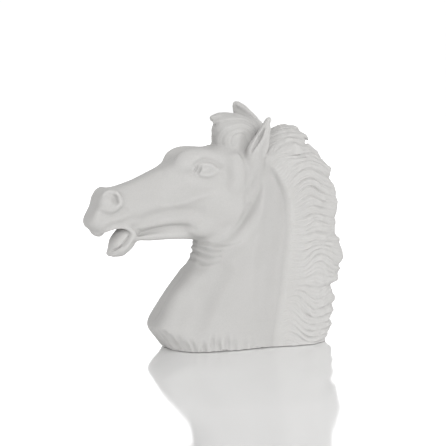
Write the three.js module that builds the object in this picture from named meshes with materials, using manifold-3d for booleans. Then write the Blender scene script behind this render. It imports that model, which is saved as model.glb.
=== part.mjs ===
// Horse-head sculpture of the kind used as a giant lawn-chess knight.
// It is a hollow cast in marble composite, made up from separately cast pieces: two shell halves,
// lower jaw, tongue, ears, forelock and a mane in four sections, all pinned with steel dowels and
// bonded. A laminate strip closes the joint of the halves inside, and a board is screwed into the
// open underside with a rubber pad below it.
// Millimetres, +Z up. The nose points to -Y and the horse's left side is +X.
// The origin is the middle of the rubber pad's underside.
import * as THREE from "three";
import { mergeVertices } from "three/addons/utils/BufferGeometryUtils.js";
import Module from "manifold-3d";

const wasm = await Module();
wasm.setup();

// Driving dimensions
const GAP = 0.3; // glue line between neighbouring pieces
const WALL = 14; // thickness of the cast shell
const EDGE_Z = 2; // height of the shell's lower edge above the ground
const OUTER_POINTS = 26; // points round an outer section
const INNER_POINTS = 14; // points round an inner section
const DOWEL_RADIUS = 4;
const DOWEL_CLEARANCE = 0.25;
const STRIP_WIDTH = 40; // laminate strip along the inside of the joint
const STRIP_THICKNESS = 3;
const PAD_THICKNESS = 3;
const BOARD_THICKNESS = 12;
const BOARD_CLEARANCE = 1.5; // between the board's edge and the shell
const BLOCK_HEIGHT = 30;
const BLOCK_LENGTH = 30;
const BLOCK_INNER_X = 34; // face of the screw blocks nearest the middle
const SCREW_RADIUS = 2.2;
const SCREW_HEAD_RADIUS = 4.4;
const SCREW_LENGTH = 34;

// Head sections from the back of the skull to the lips, square to the head's axis:
// [distance, top, bottom, half width, squareness], where squareness 2 is an ellipse
const HEAD_ORIGIN = new THREE.Vector3(0, 20, 330);
const HEAD_SLOPE = THREE.MathUtils.degToRad(10.5);
const HEAD = [
  [-22, 44, -20, 22, 2.0],
  [0, 66, -48, 42, 2.2],
  [30, 76, -70, 51, 2.3],
  [66, 78, -88, 55, 2.3],
  [105, 75, -93, 54, 2.3],
  [150, 69, -87, 48, 2.3],
  [194, 59, -76, 39, 2.3],
  [235, 49, -66, 33, 2.4],
  [252, 45.5, -61, 32, 2.4],
  [263, 44, -46, 32, 2.4],
  [289, 43, -34, 34, 2.4],
  [310, 45, -39, 36, 2.4],
  [325, 33, -37, 34, 2.4],
  [338, 16, -28, 27, 2.3],
  [344.5, 4, -14, 13, 2.2],
];
const HEAD_STEP = 27;
const HOLLOW_HEAD_END = 222; // the muzzle is cast solid beyond this distance

// Neck sections from the lower edge up: [height, front, back, half width, squareness, flare],
// where flare widens a section towards its back
const NECK = [
  [EDGE_Z, -163, 172, 80, 2.5, 0],
  [24, -180, 180, 80, 2.5, 0],
  [47, -193, 186, 79, 2.4, 0],
  [96, -161, 192, 74, 2.4, 0],
  [141, -130, 196, 70, 2.4, 0],
  [165, -108, 197, 67, 2.4, 0],
  [205, -98, 197, 63, 2.4, 0],
  [264, -62, 194, 57, 2.3, 0],
  [322, -30, 178, 51, 2.2, 0],
  [366, 0, 144, 42, 2.1, 0],
  [392, 22, 116, 31, 2.0, 0],
  [406, 42, 92, 15, 2.0, 0],
];
const NECK_STEP = 30;

// Outside of the mane, in the same kind of sections
const MANE = [
  [EDGE_Z, -140, 184, 76, 2.6, 0.62],
  [22, -150, 206, 78, 2.6, 0.5],
  [34, -150, 200, 80, 2.6, 0.36],
  [46, -150, 212, 82, 2.4, 0.24],
  [78, -150, 213, 81, 2.4, 0.12],
  [110, -130, 218, 79, 2.4, 0.06],
  [158, -100, 232, 76, 2.4, 0],
  [190, -90, 222, 73, 2.4, 0],
  [229, -70, 214, 70, 2.4, 0],
  [271, -40, 219, 65, 2.3, 0],
  [305, -10, 215, 62, 2.3, 0],
  [344, 0, 202, 58, 2.2, 0],
  [365, 15, 180, 55, 2.1, 0],
  [386, 25, 156, 47, 2.0, 0],
  [402, 32, 146, 41, 2.0, 0],
  [424, 55, 126, 27, 2.0, 0],
  [432, 78, 112, 12, 2.0, 0],
];
const MANE_STEP = 12;
const LOCK_PITCH = 37; // height from one lock of hair to the next
const LOCK_DEPTH = 2.5;
const LOCK_DROOP = 0.12; // how far the locks sink per millimetre towards the back
const CREST_Y = 34; // where the mane starts behind the forelock
// Front edge of the mane on the side of the neck, from the base to the ear: [y, z]
const MANE_EDGE = [
  [36, -5],
  [61, 134],
  [79, 264],
  [75, 322],
  [CREST_Y, 376],
  [CREST_Y, 460],
];
// The mane's cuts, measured square to the cuts, which slope down towards the back
const MANE_CUT_SLOPE = THREE.MathUtils.degToRad(-14);
const MANE_CUT_PIVOT_Y = 130;
const MANE_SECTIONS = {
  lower: [-60, 124],
  middle: [124, 240],
  upper: [240, 361],
  poll: [361, 600],
};

// Dowels on the left side, each with a twin on the right side: [start, end]
const MANE_DOWELS = {
  lower: [[36, 160, 80], [36, 196, 76]],
  middle: [[34, 166, 182], [34, 202, 178]],
  upper: [[30, 150, 300], [30, 188, 302]],
  poll: [[13, 84, 374], [13, 100, 412]],
};
const JAW_DOWEL = [[13, -206, 238], [13, -246, 206]];
const FORELOCK_DOWEL = [[8, -18, 384], [8, -18, 422]];

// Forelock, in level sections like the mane's; its front overhangs in a blown-back tip
const FORELOCK = [
  [372, -40, 34, 28, 2.2, 0],
  [395, -60, 34, 36, 2.2, 0],
  [417, -56, 34, 37, 2.2, 0],
  [434, -52, 34, 33, 2.2, 0],
  [446, -60, 33, 25, 2.0, 0.3],
  [454, -57, 20, 13, 2.0, 0.3],
];

// The ears stand at different angles: root, tip, half width, and the way the open side faces
const EARS = {
  left: { root: [39, 4, 352], tip: [55, 37, 447], halfWidth: 18, opening: [1, -0.75, 0.1] },
  right: { root: [-36, 46, 352], tip: [-49, 12, 475], halfWidth: 26, opening: [-1, 0.15, 0] },
};
const EAR_DEPTH_RATIO = 0.68;

const CAST_MARBLE = { color: 0xd2d1cf, roughness: 0.72, metalness: 0 };
const STEEL = { color: 0x9a9c9e, roughness: 0.35, metalness: 1 };
const LAMINATE = { color: 0xc9c3a4, roughness: 0.6, metalness: 0 };
const PLYWOOD = { color: 0xb08a5a, roughness: 0.7, metalness: 0 };
const PINE = { color: 0xc8a36b, roughness: 0.75, metalness: 0 };
const RUBBER = { color: 0x2b2b2b, roughness: 0.9, metalness: 0 };

// ---------------------------------------------------------------- solids

function solidFrom(geometry) {
  const plain = new THREE.BufferGeometry();
  plain.setAttribute("position", geometry.getAttribute("position"));
  plain.setIndex(geometry.index);
  const merged = mergeVertices(plain, 1e-4);
  const corners = merged.index.array;
  const kept = [];
  for (let i = 0; i < corners.length; i += 3) {
    const [a, b, c] = corners.slice(i, i + 3);
    if (a !== b && b !== c && c !== a) kept.push(a, b, c);
  }
  const vertProperties = new Float32Array(merged.attributes.position.array);
  const triVerts = new Uint32Array(kept);
  return new wasm.Manifold(new wasm.Mesh({ numProp: 3, vertProperties, triVerts }));
}

function meshFrom(solid, name, look) {
  const { vertProperties, triVerts } = solid.getMesh();
  const geometry = new THREE.BufferGeometry();
  geometry.setAttribute("position", new THREE.BufferAttribute(vertProperties, 3));
  geometry.setIndex(new THREE.BufferAttribute(triVerts, 1));
  geometry.computeVertexNormals();
  const mesh = new THREE.Mesh(geometry, new THREE.MeshStandardMaterial(look));
  mesh.name = name;
  return mesh;
}

function join(...solids) {
  return solids.reduce((whole, next) => whole.add(next));
}

function cut(solid, ...tools) {
  return tools.reduce((left, tool) => left.subtract(tool), solid);
}

// The biggest body of a solid that a cut has left in several.
function largest(solid) {
  return solid.decompose().reduce((best, next) => (next.volume() > best.volume() ? next : best));
}

// A closed skin over rings of equal point counts, with a fan over each end.
function loft(rings) {
  const count = rings[0].length;
  const last = (rings.length - 1) * count;
  const points = rings.flat();
  const hubs = [rings[0], rings.at(-1)].map((ring) =>
    ring.reduce((sum, p) => sum.add(p), new THREE.Vector3()).divideScalar(count),
  );
  const index = [];
  for (let i = 0; i < count; i++) {
    const next = (i + 1) % count;
    for (let row = 0; row < last; row += count) {
      index.push(row + i, row + next, row + next + count);
      index.push(row + i, row + next + count, row + i + count);
    }
    index.push(next, i, last + count);
    index.push(last + i, last + next, last + count + 1);
  }
  const geometry = new THREE.BufferGeometry().setFromPoints([...points, ...hubs]);
  geometry.setIndex(index);
  return solidFrom(geometry);
}

function ellipsoid(centre, radii, slope, segments = 12) {
  const geometry = new THREE.SphereGeometry(1, segments, segments / 2);
  const turn = new THREE.Quaternion().setFromEuler(new THREE.Euler(slope, 0, 0));
  return solidFrom(geometry.applyMatrix4(new THREE.Matrix4().compose(centre, turn, radii)));
}

function cylinderBetween(from, to, radius) {
  const along = to.clone().sub(from);
  const geometry = new THREE.CylinderGeometry(radius, radius, along.length(), 10);
  const up = new THREE.Vector3(0, 1, 0);
  geometry.applyQuaternion(new THREE.Quaternion().setFromUnitVectors(up, along.normalize()));
  const middle = from.clone().add(to).multiplyScalar(0.5);
  return solidFrom(geometry.translate(middle.x, middle.y, middle.z));
}

function box(low, high) {
  const size = high.map((value, i) => value - low[i]);
  const middle = high.map((value, i) => (value + low[i]) / 2);
  return solidFrom(new THREE.BoxGeometry(...size).translate(...middle));
}

function bothSides(make) {
  return join(make(1), make(-1));
}

// ---------------------------------------------------------------- sections

// Smooth values between stations, whose first number is their place along the row.
function between(stations, at) {
  const size = stations[0].length - 1;
  const positions = stations.map((row) => row[0]);
  const values = stations.flatMap((row) => row.slice(1));
  const curve = new THREE.CubicInterpolant(positions, values, size, new Float32Array(size));
  return Array.from(curve.evaluate(at));
}

function places(stations, step, end = stations.at(-1)[0]) {
  const found = [];
  for (let i = 0; i + 1 < stations.length; i++) {
    const [from, to] = [stations[i][0], stations[i + 1][0]];
    const parts = Math.max(1, Math.round((to - from) / step));
    for (let k = 0; k < parts; k++) found.push(from + ((to - from) * k) / parts);
  }
  return [...found.filter((at) => at < end - 1), end];
}

// Points of a rounded-box outline, as [across, along].
function outline(halfWidth, halfLength, squareness, flare, count) {
  const power = (value) => Math.sign(value) * Math.abs(value) ** (2 / squareness);
  return Array.from({ length: count }, (_, i) => {
    const angle = (i / count) * Math.PI * 2;
    const along = power(Math.sin(angle));
    return [halfWidth * power(Math.cos(angle)) * (1 + flare * along), halfLength * along];
  });
}

function headPoint(x, distance, up) {
  const point = new THREE.Vector3(x, -distance, up);
  return point.applyAxisAngle(new THREE.Vector3(1, 0, 0), HEAD_SLOPE).add(HEAD_ORIGIN);
}

function headLoft(grow, count, end) {
  const rings = places(HEAD, HEAD_STEP, end).map((distance) => {
    const [top, bottom, halfWidth, squareness] = between(HEAD, distance);
    const height = (top - bottom) / 2 + grow;
    return outline(halfWidth + grow, height, squareness, 0, count).map(([x, up]) =>
      headPoint(x, distance, (top + bottom) / 2 + up),
    );
  });
  return loft(rings);
}

// A loft of level sections. lift moves its first ring, drop its last, and wave shapes its outside.
function levelLoft(stations, step, grow, count, { lift = 0, drop = 0, wave = () => 0 } = {}) {
  const heights = places(stations, step);
  const rings = heights.map((z, ring) => {
    const [front, back, halfWidth, squareness, flare] = between(stations, z);
    const height = z + (ring === 0 ? lift : 0) - (ring === heights.length - 1 ? drop : 0);
    const middle = (front + back) / 2;
    const length = (back - front) / 2 + grow;
    return outline(halfWidth + grow, length, squareness, flare, count).map(([x, y]) => {
      const stretch = 1 + wave(z, middle + y) / Math.hypot(x, y);
      return new THREE.Vector3(x * stretch, middle + y * stretch, height);
    });
  });
  return loft(rings);
}

// ---------------------------------------------------------------- head and neck

function cheeks(grow) {
  const radii = new THREE.Vector3(33, 58, 54).addScalar(grow);
  return bothSides((side) => ellipsoid(headPoint(side * 27, 72, -34), radii, HEAD_SLOPE, 16));
}

function brows(grow) {
  const radii = new THREE.Vector3(18, 38, 20).addScalar(grow);
  return bothSides((side) => ellipsoid(headPoint(side * 40, 112, 57), radii, HEAD_SLOPE));
}

function eyes(grow) {
  const radii = new THREE.Vector3(13, 14, 13).addScalar(grow);
  return bothSides((side) => ellipsoid(headPoint(side * 47, 107, 41), radii, HEAD_SLOPE, 10));
}

function nostrils(grow) {
  const radii = new THREE.Vector3(14, 20, 19).addScalar(grow);
  return bothSides((side) => ellipsoid(headPoint(side * 26, 302, 20), radii, HEAD_SLOPE));
}

function castBody(grow) {
  return join(
    levelLoft(NECK, NECK_STEP, grow, OUTER_POINTS, { lift: -grow, drop: -grow }),
    headLoft(grow, OUTER_POINTS),
    cheeks(grow),
    brows(grow),
    eyes(grow),
    nostrils(grow),
  );
}

function innerSpace(inset) {
  const neck = levelLoft(NECK, NECK_STEP * 1.5, -inset, INNER_POINTS, { lift: -20, drop: inset });
  return join(neck, headLoft(-inset, INNER_POINTS, HOLLOW_HEAD_END + WALL - inset));
}

function nostrilPits() {
  const radii = new THREE.Vector3(11, 7, 8);
  return bothSides((side) => ellipsoid(headPoint(side * 42, 291, 24), radii, HEAD_SLOPE, 10));
}

function mouth() {
  return ellipsoid(headPoint(0, 268, -47), new THREE.Vector3(22, 26, 12), HEAD_SLOPE);
}

// ---------------------------------------------------------------- pieces pinned to the shell

function lowerJawBlank(grow) {
  const radii = new THREE.Vector3(25, 31, 14).addScalar(grow);
  return ellipsoid(new THREE.Vector3(0, -246, 207), radii, THREE.MathUtils.degToRad(40), 14);
}

function tongueBlank() {
  const radii = new THREE.Vector3(15, 29, 9);
  return ellipsoid(new THREE.Vector3(0, -248, 220), radii, THREE.MathUtils.degToRad(42), 14);
}

// Part of an ear's leaf shape, from a share of its length up to the tip.
function earLeaf({ root, tip, opening }, from, halfWidth, depthRatio, shift, grow) {
  const start = new THREE.Vector3(...root);
  const axis = new THREE.Vector3(...tip).sub(start);
  const across = axis.clone().cross(new THREE.Vector3(...opening)).normalize();
  const outward = across.clone().cross(axis).normalize();
  const rings = Array.from({ length: 8 }, (_, i) => {
    const share = from + ((1 - from) * i) / 7;
    const swell = Math.sin(Math.PI * (0.3 + 0.66 * share)) * (1 - share ** 5) + 0.12;
    const half = halfWidth * swell;
    const middle = start.clone().addScaledVector(axis, share).addScaledVector(outward, shift);
    return outline(half * depthRatio + grow, half + grow, 2, 0, 12).map(([out, side]) =>
      middle.clone().addScaledVector(outward, out).addScaledVector(across, side),
    );
  });
  return loft(rings);
}

function earBlank(shape, grow) {
  return earLeaf(shape, 0, shape.halfWidth, EAR_DEPTH_RATIO, 0, grow);
}

function earHollow(shape) {
  return earLeaf(shape, 0.36, shape.halfWidth * 0.62, 0.76, shape.halfWidth * 0.64, 0);
}

function forelockBlank() {
  return levelLoft(FORELOCK, 8, 0, 20);
}

// Everything in front of the mane's edge on the side of the neck.
function beforeMane() {
  const points = [[-300, -50], ...MANE_EDGE, [-300, 460]].map(([y, z]) => new THREE.Vector2(y, z));
  const depth = 400;
  const geometry = new THREE.ExtrudeGeometry(new THREE.Shape(points), { depth, bevelEnabled: false });
  const axes = [new THREE.Vector3(0, 1, 0), new THREE.Vector3(0, 0, 1), new THREE.Vector3(1, 0, 0)];
  geometry.translate(0, 0, -depth / 2);
  return solidFrom(geometry.applyMatrix4(new THREE.Matrix4().makeBasis(...axes)));
}

function maneBlank() {
  const turn = (2 * Math.PI) / LOCK_PITCH;
  const wave = (z, y) => LOCK_DEPTH * Math.sin((z + LOCK_DROOP * y) * turn);
  return cut(levelLoft(MANE, MANE_STEP, 0, OUTER_POINTS, { wave }), beforeMane());
}

function maneSlab([low, high]) {
  const geometry = new THREE.BoxGeometry(400, 600, high - low - GAP);
  geometry.translate(0, 0, (low + high) / 2).rotateX(MANE_CUT_SLOPE);
  return solidFrom(geometry.translate(0, MANE_CUT_PIVOT_Y, 0));
}

// A pin, and the hole it needs, which runs a little past both of its ends.
function dowel([start, end], side = 1) {
  const from = new THREE.Vector3(start[0] * side, start[1], start[2]);
  const to = new THREE.Vector3(end[0] * side, end[1], end[2]);
  const spare = to.clone().sub(from).setLength(1);
  const [before, beyond] = [from.clone().sub(spare), to.clone().add(spare)];
  return {
    pin: cylinderBetween(from, to, DOWEL_RADIUS),
    hole: cylinderBetween(before, beyond, DOWEL_RADIUS + DOWEL_CLEARANCE),
  };
}

// ---------------------------------------------------------------- underside

function plate(inset, bottom, thickness) {
  const [front, back, halfWidth, squareness] = between(NECK, EDGE_Z);
  const points = outline(halfWidth - inset, (back - front) / 2 - inset, squareness, 0, INNER_POINTS);
  const middle = (front + back) / 2;
  const rings = [bottom, bottom + thickness].map((z) =>
    points.map(([x, y]) => new THREE.Vector3(x, middle + y, z)),
  );
  return loft(rings);
}

function screw([x, y, z], grow) {
  const head = SCREW_HEAD_RADIUS + grow;
  const shank = SCREW_RADIUS + grow;
  const profile = [
    [0, -grow],
    [head, -grow],
    [head, 0.6],
    [shank, 3],
    [shank, SCREW_LENGTH - 5],
    [0, SCREW_LENGTH + grow],
  ];
  const points = profile.map(([radius, height]) => new THREE.Vector2(radius, height));
  return solidFrom(new THREE.LatheGeometry(points, 10).rotateX(Math.PI / 2).translate(x, y, z));
}

// ---------------------------------------------------------------- assembly

const sculpture = new THREE.Group();
sculpture.name = "horse_head";
const body = castBody(0);
const bodyWithGap = castBody(GAP);
const dowelHoles = [];

function add(name, solid, look) {
  sculpture.add(meshFrom(solid, name, look));
}

function addDowel(name, { pin, hole }) {
  add(name, pin, STEEL);
  dowelHoles.push(hole);
  return hole;
}

const earSpaces = Object.values(EARS).map((shape) => earBlank(shape, GAP));
for (const [side, shape] of Object.entries(EARS)) {
  const root = new THREE.Vector3(...shape.root);
  const tip = new THREE.Vector3(...shape.tip);
  const ends = [0.02, 0.46].map((share) => root.clone().lerp(tip, share).toArray());
  const hole = addDowel(`ear_dowel_${side}`, dowel(ends));
  const ear = cut(earBlank(shape, 0), earHollow(shape), bodyWithGap, hole);
  add(`ear_${side}`, largest(ear), CAST_MARBLE);
}

const mane = cut(maneBlank(), bodyWithGap, ...earSpaces);
for (const [section, slab] of Object.entries(MANE_SECTIONS)) {
  const left = addDowel(`mane_${section}_dowel_left`, dowel(MANE_DOWELS[section]));
  const right = addDowel(`mane_${section}_dowel_right`, dowel(MANE_DOWELS[section], -1));
  add(`mane_${section}_section`, largest(cut(mane.intersect(maneSlab(slab)), left, right)), CAST_MARBLE);
}

const forelockHole = addDowel("forelock_dowel", dowel(FORELOCK_DOWEL));
const behindForelock = box([-300, CREST_Y - GAP, 300], [300, 300, 600]);
const forelock = cut(forelockBlank(), bodyWithGap, ...earSpaces, behindForelock, forelockHole);
add("forelock", largest(forelock), CAST_MARBLE);

const jawHoles = [
  addDowel("jaw_dowel_left", dowel(JAW_DOWEL)),
  addDowel("jaw_dowel_right", dowel(JAW_DOWEL, -1)),
];
const upperHead = cut(bodyWithGap, mouth());
add("lower_jaw", largest(cut(lowerJawBlank(0), upperHead, ...jawHoles)), CAST_MARBLE);
add("tongue", largest(cut(tongueBlank(), upperHead, lowerJawBlank(GAP), ...jawHoles)), CAST_MARBLE);

const shell = cut(body, innerSpace(WALL), nostrilPits(), mouth(), ...dowelHoles);
add("shell_left", largest(shell.intersect(box([GAP / 2, -400, -50], [300, 400, 600]))), CAST_MARBLE);
add("shell_right", largest(shell.intersect(box([-300, -400, -50], [-GAP / 2, 400, 600]))), CAST_MARBLE);

const boardTop = PAD_THICKNESS + GAP + BOARD_THICKNESS;
const lining = cut(innerSpace(WALL + GAP), innerSpace(WALL + GAP + STRIP_THICKNESS));
const joint = box([-STRIP_WIDTH / 2, -400, boardTop + 1], [STRIP_WIDTH / 2, 400, 600]);
add("seam_strip", largest(cut(lining.intersect(joint), ...dowelHoles)), LAMINATE);

const blockSpace = innerSpace(WALL + GAP);
const screwHoles = [];
for (const y of [-90, 5, 100]) {
  for (const side of [1, -1]) {
    const number = screwHoles.length + 1;
    const at = [side * (BLOCK_INNER_X + 10), y, PAD_THICKNESS + 2 * GAP];
    const hole = screw(at, DOWEL_CLEARANCE);
    const [inner, outer] = side > 0 ? [BLOCK_INNER_X, 90] : [-90, -BLOCK_INNER_X];
    const low = [inner, y - BLOCK_LENGTH / 2, boardTop + GAP];
    const high = [outer, y + BLOCK_LENGTH / 2, boardTop + GAP + BLOCK_HEIGHT];
    add(`screw_block_${number}`, cut(box(low, high).intersect(blockSpace), hole), PINE);
    add(`base_screw_${number}`, screw(at, 0), STEEL);
    screwHoles.push(hole);
  }
}
const boardInset = WALL + BOARD_CLEARANCE;
add("base_board", cut(plate(boardInset, PAD_THICKNESS + GAP, BOARD_THICKNESS), ...screwHoles), PLYWOOD);
add("base_pad", plate(boardInset + 1, 0, PAD_THICKNESS), RUBBER);

export default sculpture;
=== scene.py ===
"""A cast horse-head sculpture on a pale glossy floor.

The visible cast is modelled as one distance field in design millimetres, built up like clay: smooth
masses first, then grooves and ridges pressed into the surface, then locks of hair laid over it. The
field is turned into one skin, and the skin is divided among the cast pieces of the CAD model.
"""

import bpy
import numpy as np
import openvdb
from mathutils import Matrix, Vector


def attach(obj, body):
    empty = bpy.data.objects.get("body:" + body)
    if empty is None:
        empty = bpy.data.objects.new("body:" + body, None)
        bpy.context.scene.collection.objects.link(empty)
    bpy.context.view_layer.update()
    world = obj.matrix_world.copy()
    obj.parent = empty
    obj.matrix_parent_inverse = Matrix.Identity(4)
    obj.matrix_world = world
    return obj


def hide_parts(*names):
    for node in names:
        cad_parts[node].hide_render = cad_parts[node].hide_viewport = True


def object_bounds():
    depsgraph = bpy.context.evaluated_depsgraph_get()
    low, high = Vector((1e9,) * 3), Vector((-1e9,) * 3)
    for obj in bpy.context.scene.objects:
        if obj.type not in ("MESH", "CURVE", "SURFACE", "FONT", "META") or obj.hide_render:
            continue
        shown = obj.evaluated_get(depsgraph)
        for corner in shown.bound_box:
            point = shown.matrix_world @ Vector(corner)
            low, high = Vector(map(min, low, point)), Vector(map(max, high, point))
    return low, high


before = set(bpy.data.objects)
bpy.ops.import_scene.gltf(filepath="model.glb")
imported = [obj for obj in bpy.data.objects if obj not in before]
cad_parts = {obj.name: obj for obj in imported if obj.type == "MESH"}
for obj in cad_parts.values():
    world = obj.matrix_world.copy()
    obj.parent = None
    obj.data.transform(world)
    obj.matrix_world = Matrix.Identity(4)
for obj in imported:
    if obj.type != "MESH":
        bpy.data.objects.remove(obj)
CAD_LOW, CAD_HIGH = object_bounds()

DESIGN_HEIGHT = 475.9  # the CAD model's height in design millimetres
MM = (CAD_HIGH.z - CAD_LOW.z) / DESIGN_HEIGHT
VOXEL = 1.5
FAR = 40.0  # what the empty field holds, beyond the reach of any blend
BODY, JAW, TONGUE, EAR_LEFT, EAR_RIGHT, FORELOCK, MANE = range(7)

# Head sections square to the head's axis, from the skull to the lips:
# distance, top, bottom, half widths of the upper part, the middle and the lower part
HEAD_ORIGIN = np.array((0.0, 20.0, 330.0))
HEAD_SLOPE = np.radians(10.5)
HEAD = np.array([
    (-22, 44, -20, 22, 24, 20),
    (0, 66, -48, 36, 40, 32),
    (30, 76, -70, 45, 50, 38),
    (66, 78.5, -88, 48, 53, 40),
    (105, 75, -93, 47, 52, 41),
    (150, 68.5, -87, 39, 45, 36),
    (194, 56.8, -76, 33, 38, 30),
    (235, 47.2, -66, 28, 32, 25),
    (252, 45, -61, 27, 31, 23),
    (263, 43.5, -47, 27, 31, 23),
    (289, 42, -34, 29, 32, 27),
    (310, 43, -37, 30, 33, 28),
    (325, 38, -35, 29, 34, 28),
    (338, 28, -28, 25, 31, 25),
    (346, 14, -16, 19, 24, 18),
], np.float32)

# Neck sections, level: height, front, back, half width, squareness
NECK = np.array([
    (-10, -150, 172, 78, 2.5),
    (2, -163.5, 174, 80, 2.5),
    (27, -181, 180, 80, 2.5),
    (46, -193, 186, 79, 2.4),
    (60, -177.5, 188, 78, 2.4),
    (80, -157.5, 190, 76, 2.4),
    (111, -134.5, 192, 73, 2.4),
    (152, -114, 196, 69, 2.4),
    (164, -107.5, 197, 68, 2.3),
    (183, -101, 197, 65, 2.25),
    (205, -99.5, 197, 63, 2.3),
    (264, -62, 194, 57, 2.3),
    (322, -30, 178, 51, 2.2),
    (366, 0, 144, 42, 2.1),
    (392, 22, 116, 31, 2.0),
    (406, 42, 92, 15, 2.0),
], np.float32)

# Mane envelope under the locks, level: height, front, back, half width, squareness, flare to the back
MANE_FORM = np.array([
    (-10, -140, 163, 74, 3.6, 0.5),
    (2, -140, 167, 74, 3.4, 0.5),
    (22, -150, 187, 75, 3.0, 0.38),
    (34, -150, 194, 76, 2.8, 0.28),
    (48, -150, 203, 77, 2.4, 0.22),
    (78, -150, 204, 77, 2.4, 0.1),
    (104, -130, 198, 75, 2.4, 0.05),
    (120, -120, 212, 74, 2.4, 0),
    (158, -100, 224, 72, 2.4, 0),
    (190, -90, 216, 69, 2.4, 0),
    (229, -70, 205, 66, 2.4, 0),
    (271, -40, 210, 61, 2.3, 0),
    (305, -10, 204, 58, 2.3, 0),
    (323, -5, 193, 56, 2.3, 0),
    (344, 0, 193, 53, 2.2, 0),
    (365, 15, 174, 49, 2.1, 0),
    (386, 25, 154, 42, 2.0, 0),
    (396, 30, 143, 38, 2.0, 0),
    (404, 36, 143, 33, 2.0, 0),
    (415, 48, 138, 28, 2.0, 0),
    (425, 58, 130, 23, 2.0, 0),
    (435, 66, 124, 18, 2.0, 0),
], np.float32)

# The crest of the mane between the ears and the back: height for each y
MANE_CREST = np.array([
    (20, 395), (40, 408), (66, 421), (83, 428), (102, 430), (120, 426), (133, 419), (143, 408),
    (160, 385),
], np.float32)

# Front edge of the mane on the side of the neck: y for each z
MANE_EDGE = np.array([
    (-10, 38), (0, 39), (33, 44), (73, 51), (106, 58), (139, 64), (182, 71), (215, 76),
    (251, 79), (284, 77), (307, 71), (330, 60), (354, 45), (376, 36), (460, 34),
], np.float32)

# Locks of the mane on the horse's left side, from the edge to the back: y, z
LOCKS = [
    [(62, 414), (84, 422), (104, 424), (122, 418), (140, 406)],
    [(50, 400), (72, 410), (96, 412), (118, 408), (134, 400)],
    [(44, 384), (62, 396), (84, 402), (110, 400), (138, 392)],
    [(46, 366), (58, 382), (80, 394), (108, 394), (134, 388), (158, 374)],
    [(56, 352), (68, 372), (88, 385), (114, 386), (138, 380), (166, 358)],
    [(66, 338), (80, 360), (97, 372), (119, 374), (141, 367), (178, 346)],
    [(72, 322), (88, 340), (108, 353), (130, 358), (152, 353), (184, 338)],
    [(80, 306), (96, 324), (112, 331), (133, 334), (156, 324), (188, 308)],
    [(82, 290), (100, 306), (114, 317), (131, 320), (152, 312), (190, 292)],
    [(84, 276), (104, 292), (122, 303), (138, 302), (154, 288), (190, 280)],
    [(86, 264), (106, 272), (128, 284), (148, 277), (190, 268)],
    [(88, 252), (102, 258), (119, 264), (139, 264), (160, 258), (190, 252)],
    [(84, 240), (114, 240), (131, 249), (154, 248), (190, 236)],
    [(86, 226), (118, 225), (138, 233), (158, 231), (192, 221)],
    [(84, 211), (113, 207), (134, 210), (152, 206), (194, 204)],
    [(82, 195), (114, 193), (131, 199), (154, 197), (198, 187)],
    [(76, 178), (104, 175), (122, 183), (140, 190), (162, 188), (200, 174)],
    [(74, 161), (108, 159), (120, 168), (135, 179), (154, 182), (174, 174), (200, 158)],
    [(70, 149), (104, 149), (120, 156), (133, 166), (149, 170), (166, 162), (192, 145)],
    [(68, 137), (100, 138), (122, 143), (138, 152), (156, 150), (167, 139), (180, 132)],
    [(66, 122), (96, 123), (118, 122), (137, 124), (156, 118), (182, 119)],
    [(66, 110), (92, 112), (112, 110), (124, 101), (139, 97), (156, 100), (184, 104)],
    [(62, 98), (84, 104), (98, 104), (112, 94), (129, 80), (152, 76), (184, 79)],
    [(60, 86), (80, 92), (92, 90), (104, 78), (121, 62), (141, 56), (182, 62)],
    [(58, 73), (70, 79), (82, 76), (94, 62), (110, 49), (136, 43), (178, 45)],
    [(56, 58), (70, 65), (84, 60), (96, 46), (110, 36), (132, 30), (178, 33)],
    [(54, 43), (70, 50), (86, 44), (98, 29), (118, 20), (170, 22)],
    [(51, 28), (72, 38), (88, 30), (100, 17), (118, 8), (166, 9)],
    [(48, 10), (64, 20), (84, 13), (104, 3), (140, 1)],
]

# Outline of the back of the mane seen from the left and a little from the front:
# how far it reaches along that view's own sideways direction, and the height
MANE_SILHOUETTE = np.array([
    (-10, 163), (5, 165), (13, 172), (20, 184), (26, 193), (33, 183), (42, 187.5), (51, 196), (63, 191.5),
    (76, 196), (92, 192.5), (104, 187.5), (112, 202.5), (117, 206), (126, 202.5), (136, 210),
    (142, 204.5), (149, 211), (158, 216.5), (176, 212.5), (189, 207), (198, 208), (205, 199),
    (215, 197), (233, 198), (242, 196), (254, 200.5), (272, 202.5), (286, 198), (295, 199), (307, 193.5),
    (323, 183), (332, 186), (344, 188), (350, 179.5), (364, 166.5), (379, 157.5), (390, 142.5),
    (396, 132.5), (404, 139), (414, 128), (420, 124),
], np.float32)
OUTLINE_RIGHT = (0.39, 0.92)  # that sideways direction, as x and y


# ---------------- the field

def smooth_low(a, b, blend):
    """The lower of two distances, with a fillet of about that radius."""
    if blend <= 0:
        return np.minimum(a, b)
    share = np.clip(0.5 + 0.5 * (b - a) / blend, 0, 1)
    return b + (a - b) * share - blend * share * (1 - share)


def cut(a, b, blend):
    """What is left of a where b is taken away, with a fillet of about that radius."""
    return -smooth_low(-a, b, blend)


def soften(block, passes):
    """Evens out a field in place, by averaging each point with its neighbours."""
    for _ in range(passes):
        for axis in range(3):
            moved = np.moveaxis(block, axis, 0)
            moved[1:-1] = (moved[:-2] + 2 * moved[1:-1] + moved[2:]) / 4


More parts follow.
